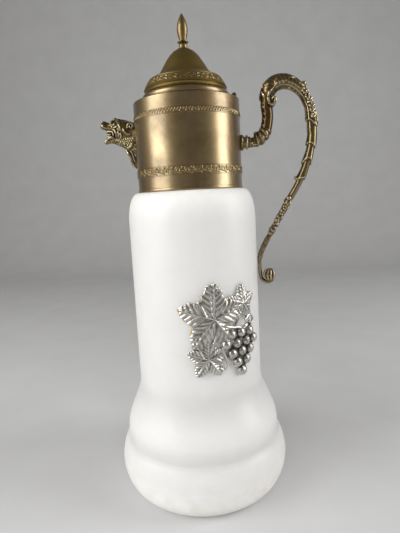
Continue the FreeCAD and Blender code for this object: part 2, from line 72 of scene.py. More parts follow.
class Wire:
    """A node's output. Operators add Math nodes, and node() adds any other node to the tree."""

    def __init__(self, tree, socket):
        self.tree = tree
        self.socket = socket

    def node(self, kind, settings, inputs, output=0):
        new = self.tree.nodes.new(kind)
        for name, value in settings.items():
            setattr(new, name, value)
        for key, value in inputs.items():
            if isinstance(value, Wire):
                self.tree.links.new(value.socket, new.inputs[key])
            else:
                new.inputs[key].default_value = value
        return Wire(self.tree, new.outputs[output])

    def math(self, operation, *values):
        return self.node("ShaderNodeMath", {"operation": operation}, dict(enumerate(values)))

    def __add__(self, other):
        return self.math("ADD", self, other)

    __radd__ = __add__

    def __sub__(self, other):
        return self.math("SUBTRACT", self, other)

    def __rsub__(self, other):
        return self.math("SUBTRACT", other, self)

    def __mul__(self, other):
        return self.math("MULTIPLY", self, other)

    def __pow__(self, other):
        return self.math("POWER", self, other)

    def span(self, low, high):
        """0 at low, 1 at high, held between."""
        ends = {"Value": self, "From Min": low, "From Max": high}
        return self.node("ShaderNodeMapRange", {"clamp": True}, ends)

    def axis(self, which):
        """One coordinate of a position: 0 is X and 2 is Z."""
        return self.node("ShaderNodeSeparateXYZ", {}, {0: self}, which)

    def stretched(self, x, y, z):
        """A position scaled along the three axes; a small factor draws a pattern out."""
        return self.node("ShaderNodeVectorMath", {"operation": "MULTIPLY"}, {0: self, 1: (x, y, z)})

    def cloud(self, size, detail=3.0):
        """Noise with blobs of about that size in millimetres."""
        sizes = {"Vector": self, "Scale": 1 / (size * MM), "Detail": detail, "Roughness": 0.55}
        return self.node("ShaderNodeTexNoise", {}, sizes)

    def specks(self, size, share):
        """1 in small round spots set about size millimetres apart, of which share shows."""
        cells = {"Vector": self, "Scale": 1 / (size * MM)}
        return 1.0 - self.node("ShaderNodeTexVoronoi", {}, cells).span(share * 0.5, share)

    def mixed(self, first, second):
        """First colour where the value is 0, second where it is 1."""
        return self.node("ShaderNodeMix", {"data_type": "RGBA"}, {0: self, 6: first, 7: second}, 2)

    def bumped(self, height, strength=1.0):
        """Normal of a surface whose relief is this value times height millimetres."""
        relief = {"Strength": strength, "Distance": height * MM, "Height": self}
        return self.node("ShaderNodeBump", {}, relief)

    def hollows(self, reach):
        """1 in recesses narrower than about reach millimetres, 0 on open faces."""
        settings = {"samples": 8, "only_local": True}
        open_sky = self.node("ShaderNodeAmbientOcclusion", settings, {"Distance": reach * MM}, 1)
        return 1.0 - open_sky

    def ridges(self):
        """Above 0.5 on convex edges, below on concave ones."""
        return self.node("ShaderNodeNewGeometry", {}, {}, 7)


def seen(red, green, blue):
    """Colour as a screen shows it, 0 to 255, in the renderer's linear terms."""
    linear = []
    for value in (red, green, blue):
        share = value / 255
        linear.append(share / 12.92 if value <= 10 else ((share + 0.055) / 1.055) ** 2.4)
    return (*linear, 1.0)


def new_finish(name):
    """New material: it, its Object coordinates and its shader."""
    material = bpy.data.materials.new(name)
    material.use_nodes = True
    tree = material.node_tree
    place = Wire(tree, tree.nodes.new("ShaderNodeTexCoord").outputs["Object"])
    return material, place, tree.nodes["Principled BSDF"]


def wear(material, shader, **inputs):
    """Feeds the shader's sockets: Base_Color=wire, Roughness=wire or a number, and so on."""
    for name, value in inputs.items():
        socket = shader.inputs[name.replace("_", " ")]
        if isinstance(value, Wire):
            material.node_tree.links.new(value.socket, socket)
        else:
            socket.default_value = value


def elliptic(start, corner, end, steps):
    """Points of a quarter ellipse from start to end, tangent to the sides that meet in corner."""
    points = []
    for k in range(steps + 1):
        turn = math.pi / 2 * k / steps
        share_start = 1 - math.sin(turn)
        share_end = 1 - math.cos(turn)
        share_corner = 1 - share_start - share_end
        points.append(tuple(
            share_start * a + share_corner * c + share_end * b for a, c, b in zip(start, corner, end)
        ))
    return points


def smooth_line(points, steps):
    """Points of a smooth curve through the given ones."""
    path = []
    count = len(points)
    for k in range(count - 1):
        before = points[max(k - 1, 0)]
        after = points[min(k + 2, count - 1)]
        for s in range(steps):
            t = s / steps
            path.append(tuple(
                0.5 * (
                    2 * b + (c - a) * t
                    + (2 * a - 5 * b + 4 * c - d) * t * t
                    + (3 * b - a - 3 * c + d) * t ** 3
                )
                for a, b, c, d in zip(before, points[k], points[k + 1], after)
            ))
    path.append(tuple(points[-1]))
    return path


def placed(name, data):
    """New object of that data, linked into the scene."""
    piece = bpy.data.objects.new(name, data)
    bpy.context.scene.collection.objects.link(piece)
    return piece


def finished(name, mesh, sharp):
    """Object of a bmesh, smooth but for edges sharper than the angle in degrees."""
    data = bpy.data.meshes.new(name)
    mesh.to_mesh(data)
    mesh.free()
    data.shade_smooth()
    data.set_sharp_from_angle(angle=math.radians(sharp))
    return placed(name, data)


def turned(name, outline, turns):
    """Mesh turned about the jug's axis from a closed outline of radius and height in millimetres."""
    mesh = bmesh.new()
    rows = []
    for radius, height in outline:
        if radius < 1e-6:
            rows.append([mesh.verts.new((0, 0, height * MM))])
            continue
        row = []
        for k in range(turns):
            angle = 2 * math.pi * k / turns
            x = radius * MM * math.cos(angle)
            y = radius * MM * math.sin(angle)
            row.append(mesh.verts.new((x, y, height * MM)))
        rows.append(row)
    for row, following in zip(rows, rows[1:] + rows[:1]):
        if len(row) == 1 and len(following) == 1:
            continue
        for k in range(turns):
            j = (k + 1) % turns
            corners = [row[k % len(row)], row[j % len(row)]]
            corners += [following[j % len(following)], following[k % len(following)]]
            mesh.faces.new(list(dict.fromkeys(corners)))
    bmesh.ops.recalc_face_normals(mesh, faces=mesh.faces)
    return finished(name, mesh, TURNED_EDGE)


def settled(piece, material, body, slot, *nodes):
    """Gives a new piece its finish and its body, and hides the CAD nodes that it stands for."""
    piece.data.materials.clear()
    piece.data.materials.append(material)
    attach(piece, body)
    if nodes:
        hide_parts(*nodes)


glass_outside = (
    [(0.0, 0.0)]
    + elliptic((BASE_R, 0.0), (FOOT_R, 0.0), (FOOT_R, FOOT_Z), 20)
    + smooth_line(((FOOT_R, FOOT_Z), *CREASE_LINE, (BELL_R, BELL_Z)), 8)[1:]
)
for k in range(1, BELL_STEPS + 1):
    share = k / BELL_STEPS
    ease = share * share * (3 - 2 * share)
    glass_outside.append((BELL_R + (BODY_R - BELL_R) * ease, BELL_Z + (WAIST_Z - BELL_Z) * share))
glass_outside += elliptic((BODY_R, SHOULDER_Z), (BODY_R, COLLAR_Z), (SEAT_R, COLLAR_Z), 14)
neck_bore = NECK_R - NECK_WALL
glass_outside += [(NECK_R, COLLAR_Z), (NECK_R, NECK_TOP_Z), (neck_bore, NECK_TOP_Z)]
inner_r = BODY_R - GLASS_WALL
inner_top = COLLAR_Z - GLASS_WALL
inner_shoulder = elliptic((inner_r, SHOULDER_Z), (inner_r, inner_top), (neck_bore, inner_top), 10)
glass_inside = [(neck_bore, inner_top)] + inner_shoulder[-2::-1]
glass_inside += [(inner_r, WAIST_Z), (BELL_R - GLASS_WALL, BELL_Z), (FOOT_R - GLASS_WALL, FOOT_Z)]
glass_inside += [(BASE_R - GLASS_WALL, GLASS_FLOOR), (0.0, GLASS_FLOOR)]

opal, place, shader = new_finish("opal_glass")
smudge = place.cloud(38, 4).span(0.42, 0.75)
dust = place.cloud(0.9, 2).span(0.62, 0.8) * place.cloud(22).span(0.45, 0.7)
scuff = place.specks(6.5, 0.05)
low = place.axis(2).span(0.03, 0.0)
stain = low * place.cloud(9).span(0.4, 0.75)
white = (smudge * 0.55).mixed(seen(246, 244, 240), seen(236, 232, 224))
white = (dust * 0.35 + scuff * 0.6).mixed(white, seen(196, 188, 172))
white = (stain * 0.5).mixed(white, seen(204, 196, 178))
frost = place.cloud(0.35, 2)
wear(opal, shader, Base_Color=white, Roughness=0.34 + smudge * 0.16, Normal=frost.bumped(0.02, 0.35))
wear(opal, shader, Subsurface_Weight=0.65, Subsurface_Scale=0.02, IOR=1.5)
shader.inputs["Subsurface Radius"].default_value = (1.0, 0.92, 0.82)
glass = turned("glass", glass_outside + glass_inside, GLASS_TURN)
settled(glass, opal, "jug", "opal_glass", "glass_body")

# Cement in the neck
# Yellowed plaster-like cement, poured between the glass neck and the collar.
# It shows only inside the mouth, and as a thin edge under the leaves on the glass.
cement, place, shader = new_finish("old_cement")
crumbs = place.cloud(0.8, 4)
wear(cement, shader, Base_Color=crumbs.span(0.3, 0.7).mixed(seen(150, 126, 76), seen(214, 196, 146)))
wear(cement, shader, Roughness=0.9, Normal=crumbs.bumped(0.25))


def dressed(node, material, edge=0.0):
    """Gives a CAD node its finish, and its corners a bevel of that many millimetres."""
    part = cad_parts[node]
    part.data.materials.clear()
    part.data.materials.append(material)
    if edge:
        bevel = part.modifiers.new("edge", "BEVEL")
        bevel.width = edge * MM
        bevel.segments = 2
        bevel.limit_method = "ANGLE"


for node in ("neck_cement", "badge_cement"):
    dressed(node, cement)

# Collar
# A seamed sleeve of gilt sheet brass with a rolled rim at its foot and a flat plate with the mouth
# soldered on top. Two die-rolled strips of foliage run round it. The gilding is worn and stained.
COLLAR_R = 36.5
COLLAR_BORE = 35.5
COLLAR_TURN = 288
RIM_H = 2.2
RIM_BULGE = 0.4
RIM_STEPS = 12
TOP_Z = 276.9
TOP_PLATE = 1.0
TOP_EDGE = 0.5
MOUTH_R = 27.0
MOUTH_EDGE = 0.4
LOWER_BAND_Z = 229.9
LOWER_BAND_H = 5.6
LOWER_BAND_COUNT = 38
UPPER_BAND_Z = 266.5
UPPER_BAND_H = 3.2
UPPER_BAND_COUNT = 60
BAND_SUNK = 0.04
EDGE_RELIEF = 0.24
EDGE_LINE = 0.35
SPOUT_Z = 258.4
POUR_HOLE_R = 3.4
PUNCH_L = 12.0


def gilt_sheet(name, dulled):
    """Worn gilt brass under old lacquer: brown-gold, with stains, spots and turning lines, and
    recesses darkened with dirt and painted shade.
    """
    material, place, shader = new_finish(name)
    lines = place.stretched(0.06, 0.06, 1.0).cloud(0.22, 3)
    stain = place.cloud(17, 5).span(0.40, 0.66)
    haze = place.stretched(1.0, 1.0, 0.35).cloud(7, 4).span(0.45, 0.72)
    spots = place.specks(8.5, 0.06) + place.specks(3.7, 0.045) * haze
    # Recesses found by ambient occlusion: dirt and painted shade in the hollows.
    grime_and_shade = place.hollows(1.2).span(0.2, 0.7)
    gold = stain.mixed(seen(157, 138, 100), seen(114, 95, 60))
    gold = (haze * 0.5).mixed(gold, seen(118, 101, 72))
    flush = place.stretched(1.0, 1.0, 0.5).cloud(15, 3).span(0.48, 0.70)
    gold = (flush * 0.45).mixed(gold, seen(146, 108, 84))
    gold = (spots * 0.7).mixed(gold, seen(74, 56, 32))
    film = place.cloud(26, 3).span(0.2, 0.8) * (0.4 * dulled) + 0.6 * dulled
    gold = film.mixed(gold, seen(126, 107, 40))
    # Painted shade, partly dirt: the hollows go dark brown.
    gold = (grime_and_shade * 0.85).mixed(gold, seen(52, 40, 20))
    wear(material, shader, Base_Color=gold, Metallic=1.0 - grime_and_shade * 0.4)
    worn = 0.28 + 0.13 * dulled + stain * 0.10 + lines * 0.07 + grime_and_shade * 0.2 + spots * 0.2
    wear(material, shader, Roughness=worn)
    dents = place.cloud(13, 1) + lines * 0.02
    wear(material, shader, Normal=dents.bumped(0.16, 0.6))
    shine = 1.0 - 0.9 * dulled
    wear(material, shader, Coat_Weight=shine - grime_and_shade * shine, Coat_Roughness=0.24, Coat_IOR=1.65)
    return material


def band_patch(name, length, height, across, up, relief, strokes, radius, taper=0.0):
    """One repeat of a pattern, bent to a radius: X is its relief, Y runs along the band, Z is up."""
    mesh = bmesh.new()
    grid = []
    for j in range(up + 1):
        row = []
        for k in range(across + 1):
            y = (k / across - 0.5) * length
            z = (j / up - 0.5) * height
            rise = 0.0
            for points, width in strokes:
                near = min(math.hypot(y - py, z - pz) for py, pz in points)
                rise = max(rise, math.sqrt(max(0.0, 1 - (near / width) ** 2)))
            y *= 1 - taper * z
            row.append(mesh.verts.new(((relief * rise - y * y / (2 * radius)) * MM, y * MM, z * MM)))
        grid.append(row)
    for low_row, high_row in zip(grid, grid[1:]):
        for k in range(across):
            mesh.faces.new((low_row[k], low_row[k + 1], high_row[k + 1], high_row[k]))
    return finished(name, mesh, 180.0)


def bowed(start, end, bow, steps):
    """Points of a shallow bow from start to end, bow millimetres deep."""
    run = (end[0] - start[0], end[1] - start[1])
    points = []
    for k in range(steps + 1):
        t = k / steps
        lift = 4 * bow * t * (1 - t) / math.hypot(*run)
        points.append((start[0] + run[0] * t - run[1] * lift, start[1] + run[1] * t + run[0] * lift))
    return points


def curled(centre, start_r, end_r, start_turn, turns, steps):
    """Points of a spiral about a centre; the turns are in degrees."""
    points = []
    for k in range(steps + 1):
        t = k / steps
        angle = math.radians(start_turn + turns * t)
        radius = start_r + (end_r - start_r) * t
        points.append((centre[0] + radius * math.cos(angle), centre[1] + radius * math.sin(angle)))
    return points


def applied(piece):
    """New mesh of an object with its modifiers applied."""
    graph = bpy.context.evaluated_depsgraph_get()
    return bpy.data.meshes.new_from_object(piece.evaluated_get(graph))


def set_round(name, patch, count, radius, height, lean, material):
    """Repeats a patch round the jug's axis and gives the ring as a plain mesh."""
    tree = bpy.data.node_groups.new(name, "GeometryNodeTree")
    for label, kind in (("Count", "NodeSocketInt"), ("Radius", "NodeSocketFloat"),
                        ("Height", "NodeSocketFloat"), ("Lean", "NodeSocketFloat")):
        tree.interface.new_socket(label, in_out="INPUT", socket_type=kind)
    tree.interface.new_socket("Geometry", in_out="OUTPUT", socket_type="NodeSocketGeometry")
    given = tree.nodes.new("NodeGroupInput")
    count_in, radius_in, height_in, lean_in = (Wire(tree, given.outputs[k]) for k in range(4))
    index = count_in.node("GeometryNodeInputIndex", {}, {})
    angle = index * (2 * math.pi) * count_in ** -1.0
    spot_x = radius_in * angle.math("COSINE", angle)
    spot_y = radius_in * angle.math("SINE", angle)
    spot = count_in.node("ShaderNodeCombineXYZ", {}, {0: spot_x, 1: spot_y, 2: height_in})
    spots = count_in.node("GeometryNodePoints", {}, {"Count": count_in, "Position": spot})
    turned_by = count_in.node("ShaderNodeCombineXYZ", {}, {1: lean_in, 2: angle})
    facing = count_in.node("FunctionNodeEulerToRotation", {}, {0: turned_by})
    motif = count_in.node("GeometryNodeObjectInfo", {}, {"Object": patch}, 4)
    laid = {"Points": spots, "Instance": motif, "Rotation": facing}
    ring = count_in.node("GeometryNodeInstanceOnPoints", {}, laid)
    ring = count_in.node("GeometryNodeRealizeInstances", {}, {"Geometry": ring})
    ring = count_in.node("GeometryNodeSetMaterial", {}, {"Geometry": ring, "Material": material})
    tree.links.new(ring.socket, tree.nodes.new("NodeGroupOutput").inputs[0])
    holder = placed(name + "_holder", bpy.data.meshes.new(name + "_holder"))
    modifier = holder.modifiers.new("round", "NODES")
    modifier.node_group = tree
    sizes = {"Count": count, "Radius": radius * MM, "Height": height * MM, "Lean": lean}
    for item in tree.interface.items_tree:
        if item.in_out == "INPUT":
            modifier[item.identifier] = sizes[item.name]
    data = applied(holder)
    bpy.data.objects.remove(holder)
    bpy.data.objects.remove(patch)
    data.shade_smooth()
    return placed(name, data)


def band_steps(middle, height):
    """Raised edge lines above and below a strip, as outline corners going up."""
    low = middle - height / 2
    high = middle + height / 2
    crest = COLLAR_R + EDGE_RELIEF
    corners = []
    for edge in (low, high):
        corners += [(COLLAR_R, edge - EDGE_LINE), (crest, edge - EDGE_LINE / 2)]
        corners += [(crest, edge + EDGE_LINE / 2), (COLLAR_R, edge + EDGE_LINE)]
    return corners


def pour_punch(reach, length):
    """Round punch along the pouring hole, its middle that far out from the collar's face."""
    bpy.ops.mesh.primitive_cylinder_add(
        vertices=48, radius=POUR_HOLE_R * MM, depth=length * MM,
        location=((-COLLAR_R - reach) * MM, 0, SPOUT_Z * MM), rotation=(0, math.pi / 2, 0))
    return bpy.context.object


def bored(piece, tool):
    """Cuts the tool's shape out of a piece, and gives the modifier that does it."""
    cut = piece.modifiers.new("bore", "BOOLEAN")
    cut.operation = "DIFFERENCE"
    cut.object = tool
    return cut


collar_gilt = gilt_sheet("gilt_collar", 0.1)
band_gilt = gilt_sheet("gilt_bands", 0.45)
sleeve_high = TOP_Z - TOP_PLATE
sleeve_outline = [(COLLAR_BORE, COLLAR_Z)]
for k in range(RIM_STEPS + 1):
    turn = math.pi * (k / RIM_STEPS - 0.5)
    rim_z = COLLAR_Z + RIM_H * (0.5 + 0.5 * math.sin(turn))
    sleeve_outline.append((COLLAR_R + RIM_BULGE * math.cos(turn), rim_z))
sleeve_outline += band_steps(LOWER_BAND_Z, LOWER_BAND_H) + band_steps(UPPER_BAND_Z, UPPER_BAND_H)
sleeve_outline += [(COLLAR_R, sleeve_high), (COLLAR_BORE, sleeve_high)]
sleeve = turned("collar_sleeve", sleeve_outline, COLLAR_TURN)
punch = pour_punch(0.0, PUNCH_L)
hole = bored(sleeve, punch)
punched = applied(sleeve)
sleeve.modifiers.remove(hole)
sleeve.data = punched
bpy.data.objects.remove(punch)
settled(sleeve, collar_gilt, "jug", "gilt_brass", "collar")

plate_outline = [(MOUTH_R, sleeve_high), (COLLAR_R, sleeve_high)]
plate_outline += elliptic(
    (COLLAR_R, TOP_Z - TOP_EDGE), (COLLAR_R, TOP_Z), (COLLAR_R - TOP_EDGE, TOP_Z), 5)
plate_outline += elliptic(
    (MOUTH_R + MOUTH_EDGE, TOP_Z), (MOUTH_R, TOP_Z), (MOUTH_R, TOP_Z - MOUTH_EDGE), 5)
top_plate = turned("collar_shoulder", plate_outline, COLLAR_TURN)
settled(top_plate, collar_gilt, "jug", "gilt_brass", "collar_top")

scroll_repeat = 2 * math.pi * COLLAR_R / LOWER_BAND_COUNT
scroll = [
    (curled((-0.3, 0.0), 2.0, 0.45, 200, -480, 34), 0.42),
    (bowed((-2.2, -0.7), (-2.9, 1.9), 0.5, 8), 0.50),
    (bowed((1.2, 1.1), (2.7, 2.0), -0.4, 8), 0.48),
    (bowed((1.4, -0.3), (2.8, -0.2), 0.3, 8), 0.46),
    (bowed((0.9, -1.4), (2.6, -2.0), 0.4, 8), 0.48),
]
strip_r = COLLAR_R - BAND_SUNK
patch = band_patch("scroll_patch", scroll_repeat, LOWER_BAND_H, 22, 20, 0.42, scroll, COLLAR_R)
lower_band = set_round("lower_band", patch, LOWER_BAND_COUNT, strip_r, LOWER_BAND_Z, 0.0, band_gilt)
settled(lower_band, band_gilt, "jug", "gilt_brass")

leaf_repeat = 2 * math.pi * COLLAR_R / UPPER_BAND_COUNT
leaf_pair = [
    (bowed((-1.8, -0.9), (-0.2, 0.9), 0.35, 8), 0.42),
    (bowed((0.1, -1.0), (1.7, 0.8), 0.35, 8), 0.42),
    (bowed((-1.1, 0.9), (-0.5, 1.1), 0.0, 4), 0.30),
    (bowed((0.8, 0.9), (1.3, 1.1), 0.0, 4), 0.30),
]
patch = band_patch("leaf_patch", leaf_repeat, UPPER_BAND_H, 16, 12, 0.36, leaf_pair, COLLAR_R)
upper_band = set_round("upper_band", patch, UPPER_BAND_COUNT, strip_r, UPPER_BAND_Z, 0.0, band_gilt)
settled(upper_band, band_gilt, "jug", "gilt_brass")

# Spout
# A bronze casting soldered over the collar's pouring hole: a snarling beast's head on a scaly neck,
# with a ribbed leaf below it that runs down the collar. Gilt, worn bright on the ridges, which also
# carry a painted highlight; its recesses carry painted shade.
# Parts of the head: reach from the collar's face, rise and half height.
SNOUT = (
    (7.0, 4.2, 4.2), (12.0, 6.2, 4.6), (16.0, 6.4, 3.5), (20.0, 6.9, 2.7), (23.0, 7.8, 3.0),
    (24.7, 8.3, 2.2),
)
JAW = ((6.5, -5.0, 4.8), (12.4, -3.2, 3.6), (17.8, -2.8, 2.1), (21.0, -3.9, 1.3), (23.2, -4.9, 0.6))
SPOUT_NECK = (
    (-0.8, -2.0, 9.6), (4.0, -0.6, 8.7), (9.5, 2.6, 8.2), (13.0, 4.6, 6.2), (15.5, 5.4, 4.6),
)
LINING = ((9.0, 0.2, 5.2), (18.0, 0.6, 4.0), (20.6, 0.6, 3.6))
# Leaf under the head: drop and reach.
LEAF_UNDER = ((4.0, 9.6), (8.0, 9.3), (11.0, 7.7), (16.5, 4.6), (21.0, 3.2), (23.0, 1.5))
LEAF_SIDE = 0.74
LEAF_SUNK = 0.85
# Ribs of the head: radius, then points x and z.
BEAST_LINES = (
    (1.2, ((-60.6, 265.9), (-59.4, 265.4), (-57.4, 264.3), (-53.2, 262.9), (-50.3, 261.6),
           (-49.3, 259.2), (-49.7, 257.0))),
    (0.85, ((-58.4, 262.1), (-55.5, 261.4), (-52.6, 260.8), (-51.8, 259.3), (-52.2, 257.4))),
    (0.95, ((-59.2, 253.9), (-58.4, 254.9), (-56.1, 256.7), (-53.1, 257.3), (-51.0, 256.2))),
    (0.5, ((-57.0, 259.6), (-55.0, 259.2), (-53.4, 259.3))),
    (0.45, ((-56.8, 258.0), (-55.0, 258.2), (-53.6, 258.1))),
    (1.3, ((-54.4, 266.8), (-52.4, 268.4), (-50.6, 269.6), (-48.6, 267.6), (-47.0, 264.9),
           (-45.4, 261.4))),
    (0.7, ((-53.6, 264.9), (-51.6, 263.6), (-49.4, 263.8), (-47.9, 265.2))),
    (0.95, ((-48.0, 260.6), (-47.1, 258.9), (-48.0, 257.0))),
    (0.8, ((-46.2, 259.6), (-45.6, 257.6), (-46.6, 255.6))),
    (0.95, ((-44.4, 262.6), (-42.6, 259.6), (-40.2, 258.0), (-38.2, 258.4))),
    (1.2, ((-37.6, 253.0), (-38.8, 250.6), (-40.8, 249.3), (-42.8, 249.3))),
    (1.3, ((-44.0, 248.6), (-42.2, 245.8), (-40.8, 242.9), (-40.2, 240.1), (-39.4, 237.4),
           (-38.0, 235.4))),
    (0.8, ((-40.0, 247.6), (-39.0, 243.6), (-38.2, 239.4))),
)
EYE = (-50.6, 265.4)
NOSTRIL = ((-59.9, 268.3), (-60.6, 266.6))
EAR = (-38.6, 263.4)
EAR_OUT = 1.2
SCALE_ROWS = 6
SCALES_IN_ROW = 7
SCALE_PITCH = 1.7
SCALE_DROP = 1.35
CREST_KNOBS = 7
SPOUT_CORNERS = 36
DRILL_REACH = 10.0
DRILL_L = 40.0
CAST_GRAIN = 0.2
CAST_EDGE = 70.0
CLEAR_OF_CASTING = 40.0
RIB_CORNERS = 10


def skinned(mesh, rows):
    """Joins rows of points into a closed skin with a cap at each end."""
    for row, following in zip(rows, rows[1:]):
        for c in range(len(row)):
            d = (c + 1) % len(row)
            mesh.faces.new((row[c], row[d], following[d], following[c]))
    mesh.faces.new(rows[0][::-1])
    mesh.faces.new(rows[-1])


def tube(mesh, path, radii, corners):
    """Adds a closed tube along points in millimetres; radii are pairs, along Y and square to it."""
    rows = []
    for k, point in enumerate(path):
        along = (Vector(path[min(k + 1, len(path) - 1)]) - Vector(path[max(k - 1, 0)])).normalized()
        side = (Vector((0, 1, 0)) - along * along.y).normalized()
        square = along.cross(side)
        row = []
        for c in range(corners):
            angle = 2 * math.pi * c / corners
            offset = side * (radii[k][0] * math.cos(angle))
            offset = offset + square * (radii[k][1] * math.sin(angle))
            row.append(mesh.verts.new((Vector(point) + offset) * MM))
        rows.append(row)
    skinned(mesh, rows)


def blob(mesh, centre, size, turn=0.0):
    """Adds an ellipsoid with these half axes in millimetres, turned about the vertical."""
    matrix = Matrix.Translation(Vector(centre) * MM) @ Matrix.Rotation(turn, 4, "Z")
    matrix = matrix @ Matrix.Diagonal((*(s * MM for s in size), 1.0))
    bmesh.ops.create_icosphere(mesh, subdivisions=2, radius=1.0, matrix=matrix)


def side_of(tree, x, z, side):
    """Height of a casting's side face over the jug's middle plane, and 0 beside the casting."""
    beside = Vector((x, side * CLEAR_OF_CASTING, z)) * MM
    hit = tree.ray_cast(beside, Vector((0, -side, 0)))[0]
    return hit.y / MM if hit else 0.0


def ribs(mesh, tree, line, radius, sunk):
    """Adds a rib along points x, z on both side faces of a casting, thinned at its ends."""
    path = smooth_line(line, 5)
    for side in (-1, 1):
        points = []
        radii = []
        for k, (x, z) in enumerate(path):
            share = k / (len(path) - 1)
            thin = radius * (0.45 + 0.55 * min(1.0, 5 * share, 5 * (1 - share)))
            points.append((x, side_of(tree, x, z, side) + side * thin * (0.5 - sunk), z))
            radii.append((thin, thin))
        tube(mesh, points, radii, RIB_CORNERS)


def pads(mesh, tree, places, size):
    """Adds ellipsoids at points x, z on both side faces of a casting."""
    for side in (-1, 1):
        for x, z in places:
            blob(mesh, (x, side_of(tree, x, z, side), z), size)


def cast(name, mesh, grain, bore=None):
    """One smooth skin round all the shells of a mesh, as a casting has; a bore is cut through it."""
    model = finished(name + "_model", mesh, 180.0)
    skin = model.modifiers.new("skin", "REMESH")
    skin.mode = "VOXEL"
    skin.voxel_size = grain * MM
    soft = model.modifiers.new("soft", "SMOOTH")
    soft.factor = 0.5
    soft.iterations = 2
    if bore:
        bored(model, bore)
    data = applied(model)
    bpy.data.objects.remove(model)
    data.shade_smooth()
    data.set_sharp_from_angle(angle=math.radians(CAST_EDGE))
    return placed(name, data)


def cast_bronze(name, copper_and_shade_share):
    """Gilt bronze casting: brown-gold faces, recesses near-black with dirt and painted shade, ridges
    worn bright with a painted highlight, and coppery metal where the gilding is worn through, which
    also paints shade on the handle's inner limb.
    """
    material, place, shader = new_finish(name)
    # Recesses found by ambient occlusion: dirt and painted shade.
    grime_and_shade = place.hollows(2.6).span(0.05, 0.36)
    # Convex ridges: gilding worn bright, with a painted highlight.
    bare_and_highlight = place.ridges().span(0.505, 0.545)
    patch = place.cloud(9, 4).span(0.38, 0.68)
    grain = place.cloud(0.5, 3)
    # Everything nearer the axis than about 60 mm: on the handle, its inner limb by the collar.
    inward = place.axis(0).span(0.066, 0.056)
    gold = patch.mixed(seen(128, 110, 60), seen(74, 60, 28))
    # Coppery patches: partly worn-through gilding, partly painted shade on the handle's inner limb.
    copper_and_shade = inward * 0.7 + place.cloud(15, 3).span(0.45, 0.68) * 0.5
    gold = (copper_and_shade * copper_and_shade_share).mixed(gold, seen(92, 58, 32))
    # Painted highlight on the ridges, partly real wear: near-white gold.
    gold = (bare_and_highlight * 0.85).mixed(gold, seen(244, 233, 196))
    # Painted shade, partly dirt: the recesses go near-black.
    gold = grime_and_shade.mixed(gold, seen(17, 13, 5))
    wear(material, shader, Base_Color=gold, Metallic=1.0 - grime_and_shade * 0.5)
    wear(material, shader, Roughness=0.28 - bare_and_highlight * 0.08 + grime_and_shade * 0.4 + grain * 0.08)
    wear(material, shader, Normal=grain.bumped(0.06, 0.6))
    wear(material, shader, Coat_Weight=0.65 - grime_and_shade * 0.4 - inward * 0.25)
    wear(material, shader, Coat_Roughness=0.18, Coat_IOR=1.6)
    return material


def stack_tube(mesh, sections, width):
    """Adds a smooth tube through sections of reach, rise and half height from the collar's face."""
    stations = smooth_line(sections, 6)
    path = [(-COLLAR_R - reach, 0.0, SPOUT_Z + rise) for reach, rise, half in stations]
    tube(mesh, path, [(half * width, half) for reach, rise, half in stations], SPOUT_CORNERS)


head = bmesh.new()
stack_tube(head, SPOUT_NECK, 0.84)
stack_tube(head, SNOUT, 0.94)
stack_tube(head, JAW, 1.25)
stack_tube(head, LINING, 0.96)
leaf_rows = []
for drop, reach in smooth_line(LEAF_UNDER, 6):
    row = []
    for k in range(SPOUT_CORNERS):
        angle = 2 * math.pi * k / SPOUT_CORNERS
        x = min(-COLLAR_R - reach * math.cos(angle), -COLLAR_R + LEAF_SUNK)
        y = reach * LEAF_SIDE * math.sin(angle)
        row.append(head.verts.new(Vector((x, y, SPOUT_Z - drop)) * MM))
    leaf_rows.append(row)
skinned(head, leaf_rows)
bmesh.ops.triangulate(head, faces=[f for f in head.faces if len(f.verts) > 4])
bare_head = BVHTree.FromBMesh(head)
for radius, line in BEAST_LINES:
    ribs(head, bare_head, line, radius, 0.1)
pads(head, bare_head, (EYE,), (1.25, 0.9, 1.15))
pads(head, bare_head, NOSTRIL, (0.9, 0.7, 0.8))
ear = [(EAR[0] + x, EAR[1] + z) for x, z in curled((0.0, 0.0), 2.4, 0.4, 210, -430, 26)]
pads(head, bare_head, (EAR,), (2.5, 1.4, 2.6))
for side in (-1, 1):
    rise = side * (abs(side_of(bare_head, *EAR, side)) + EAR_OUT)
    tube(head, [(x, rise, z) for x, z in ear], [(0.85, 0.85)] * len(ear), RIB_CORNERS)
scales = []
for row in range(SCALE_ROWS):
    for k in range(SCALES_IN_ROW):
        x = -47.4 + SCALE_PITCH * k + (row % 2) * SCALE_PITCH / 2
        z = 255.0 - SCALE_DROP * row
        if z > 249.6 + (-40.5 - x) * 0.62:
            scales.append((x, z))
pads(head, bare_head, scales, (1.0, 0.6, 0.9))
for k in range(CREST_KNOBS):
    blob(head, (-50.2 + 1.9 * k, 0, 269.6 - 0.32 * k - 0.04 * k * k), (1.3, 0.9, 1.0))
drill = pour_punch(DRILL_REACH, DRILL_L)
spout = cast("spout_beast", head, CAST_GRAIN, drill)
bpy.data.objects.remove(drill)
settled(spout, cast_bronze("gilt_spout", 0.1), "jug", "cast_bronze", "spout_head")

# Handle
# One gilt bronze casting in the shape of an S: a leafy loop that rolls into a volute, a stem in
# overlapping sheaths and a thin knotted end that curls up beside the glass.
HANDLE_Z = 248.3
